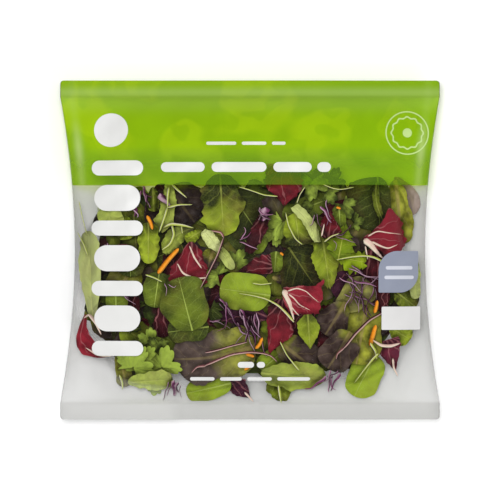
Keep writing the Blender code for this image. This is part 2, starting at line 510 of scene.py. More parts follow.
def grid_faces(rows, columns, first=0, wrap=False):
    """Quads of a grid whose points run along its rows. With wrap, each row closes on itself."""
    count = columns if wrap else columns - 1
    row, column = np.meshgrid(np.arange(rows - 1), np.arange(count), indexing="ij")
    near = first + row * columns + column
    beside = first + row * columns + (column + 1) % columns
    quads = np.stack([near, beside, beside + columns, near + columns], axis=-1)
    return quads.reshape(-1, 4)


class Piece:
    """Meshes of one kind, gathered and then made into one object that rides on the bag."""

    def __init__(self, name, slot, material, shape=None):
        """shape is the leaf that this piece is made of, if it is one of leaves."""
        self.name, self.slot, self.material, self.shape = name, slot, material, shape
        self.points, self.faces, self.ribs, self.tones, self.shades = [], [], [], [], []
        self.count = 0

    def add(self, points, faces, rib=None, tone=None, shade=0.0):
        """Points and two attributes are (count, 3) arrays in mm, shade, the painted shade, is one value or count of
        them.
        """
        blank = np.zeros_like(points)
        self.shades.append(np.broadcast_to(shade, len(points)))
        self.points.append(points)
        self.faces.extend((np.asarray(faces) + self.count).tolist())
        self.ribs.append(blank if rib is None else rib)
        self.tones.append(blank if tone is None else tone)
        self.count += len(points)

    def make(self):
        mesh = bpy.data.meshes.new(self.name)
        mesh.from_pydata((np.concatenate(self.points) * MM).tolist(), [], self.faces)
        for name, values in (("rib", self.ribs), ("tone", self.tones)):
            attribute = mesh.attributes.new(name, "FLOAT_VECTOR", "POINT")
            attribute.data.foreach_set("vector", np.concatenate(values).astype(np.float32).ravel())
        attribute = mesh.attributes.new("shade", "FLOAT", "POINT")
        attribute.data.foreach_set("value", np.concatenate(self.shades).astype(np.float32))
        mesh.shade_smooth()
        mesh.materials.append(self.material)
        obj = bpy.data.objects.new(self.name, mesh)
        bpy.context.scene.collection.objects.link(obj)
        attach(obj, BODY)
        return obj


def spread_steps(low, high, pitch):
    """Values from low to high at about one pitch."""
    return np.linspace(low, high, max(round((high - low) / pitch), 1) + 1)


# ---------------------------------------------------------------- film and print


def film_shell(name, slot, material, low, high):
    """The tube of film between two places along the bag, closed where it ends in a seal."""
    pitch = 1.7
    edges = sorted({low, high} | {e for e in (-SEAL_LINE, SEAL_LINE) if low < e < high})
    places = [spread_steps(start, end, pitch) for start, end in zip(edges, edges[1:])]
    places = np.unique(np.concatenate(places).round(6))
    corner = BAG_LENGTH / 2 - CORNER_RADIUS
    extra = [sign * (corner + CORNER_RADIUS * math.sin(a)) for sign in (-1, 1) for a in (0.4, 0.8, 1.2)]
    places = np.unique(np.concatenate([places, [e for e in extra if low < e < high]]))
    columns = round(FLAT_WIDTH / pitch)
    lean = np.linspace(-1, 1, columns + 1)
    share = (lean + np.sin(math.pi * lean / 2)) / 2
    y, across = np.meshgrid(places, share, indexing="ij")
    x = across * half_width(y)
    front = np.stack([x, y, film_front(x, y)], axis=-1)
    back = np.stack([x, y, film_back(x, y)], axis=-1)[:, -2:0:-1]
    rings = np.concatenate([front, back], axis=1)
    rows, around = rings.shape[:2]
    faces = grid_faces(rows, around, wrap=True).tolist()
    for row, is_end in ((0, low <= -BAG_LENGTH / 2), (rows - 1, high >= BAG_LENGTH / 2)):
        if is_end:
            start = row * around
            for i in range(columns):
                below = start + (around - i) % around
                beyond = start + (around - i - 1) % around
                quad = [start + i, start + i + 1, beyond, below]
                unique = list(dict.fromkeys(quad))
                faces.append(unique[::-1] if row == 0 else unique)
    piece = Piece(name, slot, material)
    is_back = np.broadcast_to(np.arange(around) > columns, (rows, around))
    sealed = np.abs(rings[..., 1]) > SEAL_LINE - 0.1
    empty = np.clip((heap_share(rings[..., 0], rings[..., 1]) - 0.94) / 0.08, 0, 1)
    # painted light: more milk on the left above y = -20 and in the lower left corner lifts the shadow that the band
    # and heap cast there
    painted_lift = np.clip((rings[..., 1] + 20) / 30, 0, 1) * (rings[..., 0] < 0)
    painted_corner_lift = np.clip((-75 - rings[..., 1]) / 12, 0, 1) * np.clip((-50 - rings[..., 0]) / 10, 0, 1)
    empty = empty * (1 + 0.8 * np.maximum(painted_lift, 0.6 * painted_corner_lift))
    if low >= BAND_EDGE:
        empty = np.clip((rings[..., 1] - 60) / 16, 0, 1) * ~is_back
    deep = np.clip((rings[..., 0] - 50) / 60, 0, 1) * 0.8
    lean = np.abs(rings[..., 0]) / half_width(rings[..., 1])
    # painted highlights: soft streaks down the sides of the front sheet and a band at the top seal
    painted_highlight = np.exp(-(((lean - 0.94) / 0.022) ** 2)) * np.clip((100 - rings[..., 1]) / 30, 0.1, 1) * 1.3
    shine = 0.6 * np.exp(-(((rings[..., 1] - 116.5) / 3.5) ** 2)) + 0.2 * np.exp(-(((rings[..., 1] - 109) / 7) ** 2))
    painted_highlight = (painted_highlight + shine) * ~is_back
    # painted shade at the bag's outline and, more weakly, at its ends
    beside = half_width(rings[..., 1]) - np.abs(rings[..., 0])
    rim = np.exp(-np.minimum(beside, BAG_LENGTH / 2 - np.abs(rings[..., 1])) / 3)
    rim = np.maximum(rim * 0.3, np.exp(-beside / 3))
    rib = np.stack([painted_highlight, rim, deep], axis=-1).reshape(-1, 3)
    piece.add(rings.reshape(-1, 3), [], rib, np.stack([is_back, sealed, empty], axis=-1).reshape(-1, 3))
    piece.faces = faces
    return piece.make()


def inked(piece, x, y, wrap=False):
    """Ink on the front film, over a grid of places."""
    points = np.stack([x, y, film_front(x, y) + PRINT_LIFT], axis=-1)
    piece.add(points.reshape(-1, 3), grid_faces(*x.shape, wrap=wrap))


def ring(piece, centre, radius, hole=0.0, scallops=0, depth=0.0):
    """A ring of ink, or a disc where it has no hole."""
    around, start = 72, piece.count
    shares = np.linspace(hole or 0.1, 1, max(round(radius * (1 - hole) / 1.5), 2) + 1)
    angle, share = np.meshgrid(np.linspace(0, TURN, around, endpoint=False), shares)
    reach = radius * share * (1 + depth * np.cos(scallops * angle))
    inked(piece, centre[0] + reach * np.sin(angle), centre[1] + reach * np.cos(angle), wrap=True)
    if not hole:
        piece.faces.append(list(range(start, start + around))[::-1])


def panel(piece, centre, half, corners):
    """A field of ink whose corners have these radii: top left, top right, bottom right, bottom left."""
    down = half[1] * np.sin(np.linspace(-math.pi / 2, math.pi / 2, max(round(half[1] * 2.2), 9)))
    ends = []
    for upper, lower in ((corners[0], corners[3]), (corners[1], corners[2])):
        radius = np.where(down > 0, upper, lower)
        into = np.maximum(np.abs(down) - half[1] + radius, 0)
        ends.append(half[0] - radius + np.sqrt(np.maximum(radius**2 - into**2, 0)))
    share = np.linspace(0, 1, max(round(half[0] * 1.3), 5))
    across = ends[1][:, None] * share - ends[0][:, None] * (1 - share)
    inked(piece, centre[0] + across, centre[1] + down[:, None] + 0 * across)


def bar(piece, centre, half, corner=None):
    """A bar of ink, round at its ends unless it has a corner radius."""
    panel(piece, centre, half, [min(half) if corner is None else corner] * 4)


def white_print():
    """Plain shapes where the pack has its white print: a tall column, short rows and a seal."""
    ink = Piece("white_print", "white_print", ink_look("white_ink", srgb(224, 224, 222), srgb(219, 219, 217)))
    patch = Piece("pale_patch", "white_print", ink_look("pale_patch_ink", srgb(213, 212, 211), srgb(208, 207, 206)))
    ring(ink, (-102, 88), 12.5)
    for number, y in enumerate(np.linspace(60, -72, 7)):
        half = (19, 5.5) if number % 2 == 0 else (17, 9.5)
        bar(ink, (COLUMN_X, y), half)
    for x, half in ((-49, 16), (-8, 20), (31, 14), (54, 5)):
        bar(ink, (x, 60.5), (half, 3.6))
    for x, half in ((-21, 11), (3, 9), (21, 5)):
        bar(ink, (x, 78), (half, 1.2))
    seal = Piece("round_seal", "white_print", ink_look("seal_ink", srgb(190, 216, 140), srgb(180, 208, 130)))
    ring(seal, (115.5, 86), 16.2, 0.94)
    ring(seal, (115.5, 86), 12, 0.9, 12, 0.05)
    ring(seal, (115.5, 86), 3.4)
    bar(patch, (110.5, -49.9), (14.4, 8.5), 0.8)
    for x, half in ((-3, 6), (8, 3)):
        bar(ink, (x, -84), (half, 2.2))
    for x, half in ((-35, 9), (-14, 8), (7, 9), (32, 12)):
        bar(ink, (x, -94.5), (half, 1.3))
    return ink.make(), patch.make(), seal.make()


def label_print():
    """A violet-blue label with two opposite corners rounded, and two pale bars on it."""
    ink = Piece("violet_label", "violet_print", ink_look("violet_ink", srgb(140, 146, 160), srgb(131, 136, 154)))
    panel(ink, (108.6, -15.9), (14.8, 15.2), (14, 1, 14, 1))
    pale = Piece("label_bars", "white_print", ink_look("pale_ink", srgb(200, 202, 212), srgb(196, 198, 208)))
    for y, half in ((-13, 10), (-20, 11)):
        bar(pale, (109, y), (half, 1.3))
    pale.points = [points + (0, 0, PRINT_LIFT) for points in pale.points]
    return ink.make(), pale.make()


# ---------------------------------------------------------------- leaves


def blend_curve(values, share):
    """A smooth curve through a few control values, as a Bernstein polynomial."""
    order = len(values) - 1
    return sum(
        value * math.comb(order, i) * share**i * (1 - share) ** (order - i)
        for i, value in enumerate(values)
    )


SPINACH = dict(
    grid=(30, 21), sides=(0.75, 1.15, 1.15, 1.05, 0.9), ragged=0.015, ruffle=(0.6, 2.5), cup=1.8,
    arch=1.4, groove=0.5, quilt=(0.25, 6.5, 0.75), crumple=0.5, crease=18,
)
ROCKET = dict(
    grid=(60, 15), sides=(0.35, 0.7, 1.2, 1.2, 0.9), ragged=0.05, ruffle=(0.8, 3), cup=1.2,
    arch=1.3, groove=0.4, quilt=(0.3, 7, 0.5), teeth=(0.2, 5, 0.10), crumple=0.6,
)
LETTUCE = dict(
    grid=(44, 25), sides=(0.5, 0.9, 1.25, 1.2, 1.1), ragged=0.07, ruffle=(2.0, 5), cup=-0.5,
    arch=1.5, groove=0.5, quilt=(0.35, 7, 1.1), crumple=1.7, crease=15,
)
BRONZE = dict(
    grid=(40, 27), sides=(0.5, 0.9, 1.2, 1.2, 1.05), ragged=0.03, ruffle=(1.4, 4), cup=1.8,
    arch=2.4, groove=0.6, quilt=(0.4, 10, 1.3), crumple=1.3, crease=17,
)
RADICCHIO = dict(
    grid=(36, 25), sides=(0.3, 0.8, 1.1, 1.25, 1.15), ragged=0.05, ruffle=(1.0, 3), cup=1.4,
    arch=1.6, groove=0.0, quilt=(0.0, 9, 1.0), crumple=1.3, crease=16,
)


def outline(shape, share, side):
    """Half the width of a blade, as a share of its full half width, at a share of its length.

    sides holds the values from base to tip, and other those right of the rib where they differ.
    They are smoothed into a round leaf, or joined by straight lines in a torn one.
    """
    both = shape["sides"], shape.get("other", shape["sides"])
    if shape.get("torn"):
        left, right = (np.interp(share, np.linspace(0, 1, len(values)), values) for values in both)
        return np.where(side > 0, left, right)
    left, right = (blend_curve(values, share) for values in both)
    return np.where(side > 0, left, right) * np.sqrt(1 - (2 * share - 1) ** 6 + 1e-9)


def blade(shape, length, width, draw):
    """A leaf blade on a grid in its own plane: (points, rib coordinates, share from base to tip)."""
    rows, columns = shape["grid"]
    share = (1 - np.cos(np.linspace(0, math.pi, rows))) / 2
    share, lean = np.meshgrid(share, np.linspace(-1, 1, columns), indexing="ij")
    side = np.where(lean < 0, -1.0, 1.0)
    seed = int(draw.integers(1, 10**6))
    down = share * length
    reach = outline(shape, share, side) * (1 + shape["ragged"] * waves(down, 60 * side, 7, seed))
    if shape.get("torn"):
        reach = reach * (1 + 0.05 * waves(down, 80 * side, 3.5, seed + 4))
        down = down + 0.03 * length * waves(lean * width / 2, 0 * lean, 7, seed + 5) * share**6
    else:
        reach = reach * (1 + 0.09 * waves(down, 100 * side, 24, seed + 2))
    if "teeth" in shape:
        size, count, lead = shape["teeth"]
        saw = (share * count + 0.15 * side) % 1
        reach = reach * (1 - size * 2 * saw * (share > 0.12))
        down = down + lead * length * np.abs(lean) ** 2
    across = lean * reach * width / 2
    size, count = shape["ruffle"]
    rim = np.abs(lean) ** 2.2
    phase = draw.uniform(0, TURN, 4)
    flutter = np.sin(TURN * count * share + phase[0] + side * phase[1])
    flutter = flutter + 0.5 * np.sin(TURN * 2.3 * count * share + phase[2] + side * phase[3])
    relief = size * rim * flutter
    relief = relief - shape["cup"] * lean**2 * np.sin(math.pi * share) ** 0.5
    relief = relief - shape["arch"] * (2 * share - 1) ** 2
    relief = relief - shape["groove"] * np.exp(-((across / 1.3) ** 2)) * (1 - 0.6 * share)
    height, spacing, slant = shape["quilt"]
    rise = (down - slant * np.abs(across)) / spacing
    relief = relief + height * np.abs(np.sin(math.pi * rise)) * (1 - np.abs(lean) ** 3)
    creased = 1 - np.abs(waves(across, down, shape.get("crease", 13), seed + 1))
    relief = relief + shape["crumple"] * creased + 0.7 * waves(across, down, 19, seed + 3)
    rib = np.stack([across, down, np.abs(lean)], axis=-1)
    bowed = across + shape.get("bow", 0) * length * np.sin(math.pi * share)
    return np.stack([bowed, down, relief], axis=-1), rib, share


def leaflet_blade(size, lobe, draw):
    """A soft leaflet with three toothed lobes, fanned out of its base, as blade() gives it."""
    rings, around = 11, 96
    angle, radius = np.meshgrid(np.linspace(-2.25, 2.25, around), np.linspace(0.03, 1, rings))
    step = math.radians(lobe)
    bent = angle + 0.1 * np.sin(3 * angle + draw.uniform(0, TURN))
    main = np.abs(np.cos(math.pi * bent / step)) ** 0.75
    teeth = np.abs(np.cos(3 * math.pi * bent / step + 0.3 * np.sin(5 * angle))) ** 0.8
    reach = 0.46 + 0.38 * main + 0.16 * teeth * (0.4 + 0.6 * main)
    reach = reach * (1 - 0.3 * (np.abs(angle) / 2.25) ** 2)
    shape = 1 + (reach - 1) * radius**1.5
    across = size * radius * shape * np.sin(angle)
    down = size * (0.25 + radius * shape * np.cos(angle))
    seed = int(draw.integers(1, 10**6))
    relief = 0.9 * waves(across, down, 11, seed) + 0.5 * waves(across, down, 6, seed + 1) * radius
    relief = relief - 1.6 * radius**2 + 0.5 * np.cos(TURN * angle / step) * radius
    rib = np.stack([across, down, radius], axis=-1)
    points = np.stack([across, down, relief], axis=-1)
    return points, rib, np.clip(down / (1.25 * size), 0, 1)


def tube(piece, centre, radii, tone=0.5, sides=8, flat=1.0, spin=0.0, shade=0.0):
    """A tube along centre points in mm. flat squashes its section, which spin turns along it."""
    tangent = np.gradient(centre, axis=0)
    tangent /= np.linalg.norm(tangent, axis=1, keepdims=True) + 1e-9
    beside = np.cross(tangent, [0, 0, 1.0])
    beside /= np.linalg.norm(beside, axis=1, keepdims=True) + 1e-9
    above = np.cross(beside, tangent)
    angle = np.linspace(0, TURN, sides, endpoint=False)
    reach = np.linspace(0, 1, len(centre))[:, None]
    turned = spin * reach
    wide, thin = np.cos(angle) + 0 * turned, flat * np.sin(angle) + 0 * turned
    first = wide * np.cos(turned) - thin * np.sin(turned)
    second = wide * np.sin(turned) + thin * np.cos(turned)
    radii = np.broadcast_to(radii, len(centre))[:, None, None]
    around = first[..., None] * beside[:, None] + second[..., None] * above[:, None]
    steps = np.linalg.norm(np.diff(centre, axis=0), axis=1)
    length = np.concatenate([[0], np.cumsum(steps)])[:, None]
    rib = np.stack([wide, length + 0 * wide, (wide + 1) / 2], axis=-1)
    ends = np.stack([tone + 0 * wide, 0 * wide, reach + 0 * wide], axis=-1)
    start, last = piece.count, piece.count + (len(centre) - 1) * sides
    faces = grid_faces(len(centre), sides, wrap=True)
    shade = (shade + 0 * wide).ravel()
    piece.add((centre[:, None] + radii * around).reshape(-1, 3), faces, rib.reshape(-1, 3), ends.reshape(-1, 3), shade)
    piece.faces.append(list(range(start, start + sides))[::-1])
    piece.faces.append(list(range(last, last + sides)))


def through(route, pitch=1.3):
    """Points at about one pitch along a smooth line through a few places."""
    route = np.array(route, float)
    reach = np.concatenate([[0], np.cumsum(np.linalg.norm(np.diff(route, axis=0), axis=1))])
    count = max(round(reach[-1] / pitch), 8)
    at = np.linspace(0, reach[-1], count)
    line = np.stack([np.interp(at, reach, values) for values in route.T], axis=-1)
    for _ in range(max(count // 6, 1)):
        line[1:-1] = (line[:-2] + 2 * line[1:-1] + line[2:]) / 4
    return line


class Side:
    """One side of the heap. Leaves are laid from the film inwards, each under those already there."""

    def __init__(self, sign):
        """sign is 1 for the front and -1 for the back."""
        self.sign = sign
        # Signed height that the next leaf has to stay under, on a grid of 1 mm
        self.limit = np.full((round(BAG_LENGTH) + 4, round(FLAT_WIDTH) + 4), 1e3)

    def surface(self, x, y):
        """Signed height of the outermost leaves."""
        return heap_top(x, y) if self.sign > 0 else -heap_bottom(x, y)

    def cell(self, x, y):
        rows, columns = self.limit.shape
        row = np.clip(np.rint(y + rows / 2), 0, rows - 1).astype(int)
        return row, np.clip(np.rint(x + columns / 2), 0, columns - 1).astype(int)

    def inside(self, x, y, signed, room=0.6):
        """Height, kept between the two sheets of film."""
        low, high = back_height(x, y) + room, front_height(x, y) - room
        return np.clip(self.sign * signed, low, np.maximum(low, high))

    def cover(self, x, y, signed):
        """Notes what now lies at these places, and 1 mm round them."""
        laid = np.full_like(self.limit, 1e3)
        np.minimum.at(laid, self.cell(x, y), signed)
        for axis in (0, 1):
            laid = np.minimum.reduce([laid, np.roll(laid, 1, axis), np.roll(laid, -1, axis)])
        self.limit = np.minimum(self.limit, laid)

    def tuck(self, points):
        """Presses a grid of points under what is laid there, easing the dent out along the leaf."""
        x, y, signed = np.moveaxis(points, -1, 0)
        push = np.maximum(signed - self.limit[self.cell(x, y)] + LAYER_GAP, 0)
        for _ in range(7):
            near = np.pad(push, 1, mode="edge")
            beside = [near[:-2, 1:-1], near[2:, 1:-1], near[1:-1, :-2], near[1:-1, 2:]]
            push = np.maximum(push, 0.82 * np.maximum.reduce(beside))
        z = self.inside(x, y, signed - push)
        grid = np.stack([x, y, self.sign * z])
        for first in (0, 1 / 3, 2 / 3):
            for second in (0, 1 / 3, 2 / 3):
                ahead = grid[:, :-1] * (1 - first) + grid[:, 1:] * first
                between = ahead[:, :, :-1] * (1 - second) + ahead[:, :, 1:] * second
                self.cover(*between.reshape(3, -1))
        return np.stack([x, y, z], axis=-1)

    def crowding(self, x, y):
        """Mask for painted contact shade: 0 in the open, rising to 1 within some 3 mm of what lies over a place."""
        near = (self.limit < 900).astype(float)
        for axis in (0, 1) * 4:
            near = (np.roll(near, 1, axis) + near + np.roll(near, -1, axis)) / 3
        return near[self.cell(x, y)]

    def blade(self, piece, drawn, base, turn, depth, tone, roll=0.0, pale=0.0, dim=(0.0, 0.0)):
        """Lays a drawn blade with its base at a place and its tip towards turn, in radians, with painted shade."""
        points, rib, share = drawn
        across, down, relief = np.moveaxis(points, -1, 0)
        x = base[0] + down * math.cos(turn) - across * math.sin(turn)
        y = base[1] + down * math.sin(turn) + across * math.cos(turn)
        limit = half_width(y) - 2.5
        x, y = np.clip(x, -limit, limit), np.clip(y, 1.5 - SEAL_LINE, SEAL_LINE - 1.5)
        under = depth[0] + (depth[1] - depth[0]) * share + roll * across
        # painted contact shade beside and under what already lies over the leaf
        crowded = self.crowding(x, y)
        laid = self.tuck(np.stack([x, y, self.surface(x, y) - under + relief], axis=-1))
        faces = grid_faces(*share.shape)[:, ::-self.sign]
        # painted shade where the leaf lies deep under the outermost leaves
        deep = np.clip((self.surface(x, y) - self.sign * laid[..., 2] - 4) / 12, 0, 1)
        # painted shade: darker tone in the hollows of the leaf's own relief
        painted_hollow_shade = np.clip(0.12 * (relief.mean() - relief), -0.2, 0.2)
        toned = tone[0] + (tone[1] - tone[0]) * share - painted_hollow_shade
        values = np.stack([toned, pale + 0 * share, share], axis=-1)
        # the painted shade, with dim as extra painted shade along the leaf
        shade = 1 - (1 - 0.7 * crowded) * (1 - 0.45 * deep) * (1 - dim[0] - (dim[1] - dim[0]) * share)
        piece.add(laid.reshape(-1, 3), faces, rib.reshape(-1, 3), values.reshape(-1, 3), shade.ravel())
        return laid

    def leaf(self, piece, base, tip, width, tone=0.5, depth=2, roll=0.0, pale=0.0, dim=0.0, seed=0, **changes):
        """One leaf of a piece; dim is extra painted shade. tone, depth and dim are one value or (at the base, at the
        tip).
        """
        draw = np.random.default_rng([seed, round(base[0] * 10) + 5000, round(base[1] * 10) + 5000])
        length = math.dist(base, tip)
        turn = math.atan2(tip[1] - base[1], tip[0] - base[0])
        tone, depth, dim = (value if isinstance(value, tuple) else (value, value) for value in (tone, depth, dim))
        drawn = blade({**piece.shape, **changes}, length, width, draw)
        return self.blade(piece, drawn, base, turn, depth, tone, roll, pale, dim)

    def leaflet(self, piece, base, size, turn, tone=0.5, depth=(2, 2), lobe=75.0, roll=0.0, seed=0):
        """One toothed leaflet from its base towards turn, in degrees."""
        draw = np.random.default_rng([seed, round(base[0] * 10) + 5000, round(base[1] * 10) + 5000])
        drawn = leaflet_blade(size, lobe, draw)
        return self.blade(piece, drawn, base, math.radians(turn), depth, (tone, tone), roll)

    def stalk(self, piece, route, radii, depth=(1, 1), tone=0.5, on=None, **section):
        """A stalk along a few places, at a depth under the film or on a laid leaf."""
        x, y = through(route).T
        reach = np.linspace(0, 1, len(x))
        radii = np.interp(reach, np.linspace(0, 1, len(radii)), radii) * (1 - 0.7 * np.abs(2 * reach - 1) ** 12)
        signed = self.surface(x, y) - np.linspace(*depth, len(x)) - radii
        if on is not None:
            flat = on.reshape(-1, 3)
            gaps = (flat[None, :, 0] - x[:, None]) ** 2 + (flat[None, :, 1] - y[:, None]) ** 2
            signed = self.sign * flat[np.argsort(gaps, axis=1)[:, :4], 2].mean(axis=1) + 0.15
        else:
            signed = np.minimum(signed, self.limit[self.cell(x, y)] - radii - 0.2)
        z = self.inside(x, y, signed, 0.5 + radii)
        # painted shade beside and under what lies over a loose stalk
        shade = 0.6 * self.crowding(x, y)[:, None] if on is None else 0.0
        tube(piece, np.stack([x, y, z], axis=-1), radii, tone, shade=shade, **section)
        fine = np.linspace(0, len(x) - 1, 3 * len(x))
        order = np.arange(len(x))
        self.cover(*(np.interp(fine, order, values) for values in (x, y, self.sign * z - radii)))

    def bundle(self, piece, base, heading, length, count, draw, spread=3.0, fan=18.0, width=0.55, curl=55.0):
        """Strands that leave one place in about one direction, each with its own bend."""
        for _ in range(count):
            lean = math.radians(heading + draw.normal(0, fan))
            start = np.array(base) + draw.normal(0, spread, 2)
            share = np.linspace(0, 1, 14)
            bend = lean + math.radians(draw.normal(0, curl)) * share**1.5
            bend = bend + 0.35 * np.sin(TURN * (share * draw.uniform(0.8, 2.0) + draw.uniform(0, 1)))
            step = length * draw.uniform(0.6, 1.15) / 13
            x = start[0] + step * np.cumsum(np.cos(bend))
            y = start[1] + step * np.cumsum(np.sin(bend))
            radii = np.array([1.0, 0.9, 0.5]) * width * draw.lognormal(0, 0.35)
            under = 1.5 + draw.uniform(-0.8, 1.2, 2)
            self.stalk(
                piece, np.stack([x, y], axis=-1), radii, under, draw.uniform(0, 1),
                sides=6, flat=0.55, spin=draw.uniform(-3, 3),
            )


def heap_core():
    """The middle of the heap, a closed lumpy body well under the leaves that show, dark with painted shade."""
    pitch = 2.6
    columns, rows = round(2 * HEAP_HALF[0] / pitch), round(2 * HEAP_HALF[1] / pitch)
    lean_x, lean_y = np.meshgrid(np.linspace(-1, 1, columns), np.linspace(-1, 1, rows))
    longest = np.maximum(np.abs(lean_x), np.abs(lean_y))
    ahead_x, ahead_y = lean_x * HEAP_HALF[0], lean_y * HEAP_HALF[1]
    for _ in range(6):
        share = heap_share(HEAP_CENTRE[0] + ahead_x, HEAP_CENTRE[1] + ahead_y)
        pull = 0.88 * longest / np.maximum(share, 0.05)
        ahead_x, ahead_y = ahead_x * pull, ahead_y * pull
    x, y = HEAP_CENTRE[0] + ahead_x, HEAP_CENTRE[1] + ahead_y
    fold = fold_height(x, y)
    room = np.clip((1 - longest) / 0.25, 0, 1) ** 0.5
    lumps = 2.5 * waves(x, y, 16, 301) + 1.2 * waves(x, y, 7, 302)
    top = fold + np.maximum(heap_top(x, y) - CORE_DEPTH + lumps - fold, 1) * room
    bottom = fold + np.minimum(heap_bottom(x, y) + 8 + lumps - fold, -1) * room
    piece = Piece("painted_shade_core", "dark_leaf", core_look())
    faces = grid_faces(rows, columns)
    piece.add(np.stack([x, y, top], axis=-1).reshape(-1, 3), faces)
    piece.add(np.stack([x, y, bottom], axis=-1).reshape(-1, 3), faces[:, ::-1])
    return piece.make()


# ---------------------------------------------------------------- the salad


def leaf_kinds():
    """The pieces that leaves are gathered in, one of each kind."""
    spinach = (srgb(144, 166, 45), srgb(58, 67, 24), srgb(176, 194, 92), srgb(206, 214, 140))
    rocket = (srgb(143, 168, 23), srgb(68, 88, 18), srgb(188, 198, 80), srgb(206, 210, 104))
    lettuce = (srgb(157, 175, 45), srgb(46, 52, 22), srgb(182, 190, 88), srgb(220, 224, 164))
    coriander = (srgb(151, 172, 67), srgb(53, 62, 24), srgb(170, 182, 94))
    # the third colour of each strand kind is its painted highlight
    cabbage = (srgb(64, 24, 52), srgb(124, 62, 104), srgb(212, 176, 194))
    carrot = (srgb(216, 104, 20), srgb(244, 156, 36), srgb(250, 176, 70))
    stalk = (srgb(176, 188, 80), srgb(222, 192, 178), srgb(238, 230, 206))
    twig = (srgb(60, 24, 34), srgb(120, 70, 74), srgb(226, 186, 176))
    pieces = (
        ("spinach", "leaves", "green_leaf", leaf_look("spinach", spinach, 6.5, 0.75, 0.9, 0.75, 0.2), SPINACH),
        ("rocket", "leaves", "green_leaf", leaf_look("rocket", rocket, 7, 0.5, 0.8, 0.7, 0.2), ROCKET),
        ("lettuce", "leaves", "green_leaf", leaf_look("lettuce", lettuce, 8, 1.1, 1.1, 0.4, 0.2, 0.3), LETTUCE),
        ("bronze", "lettuce_leaves", "dark_leaf", bronze_look(), BRONZE),
        ("radicchio", "leaves", "red_leaf", radicchio_look(), RADICCHIO),
        ("coriander", "leaves", "green_leaf", lobed_look("coriander", *coriander), None),
        ("cabbage", "strands", "shreds", strand_look("cabbage", *cabbage, pale_from=0.38), None),
        ("carrot", "strips", "carrot", strand_look("carrot", *carrot, 0.35), None),
        ("leaf", "stalks", "green_leaf", strand_look("stalk", *stalk), None),
        ("dark", "stalks", "red_leaf", strand_look("dark_stalk", *twig, pale_from=0.4), None),
    )
    return {kind: Piece(f"{kind}_{rest}", slot, look, shape) for kind, rest, slot, look, shape in pieces}


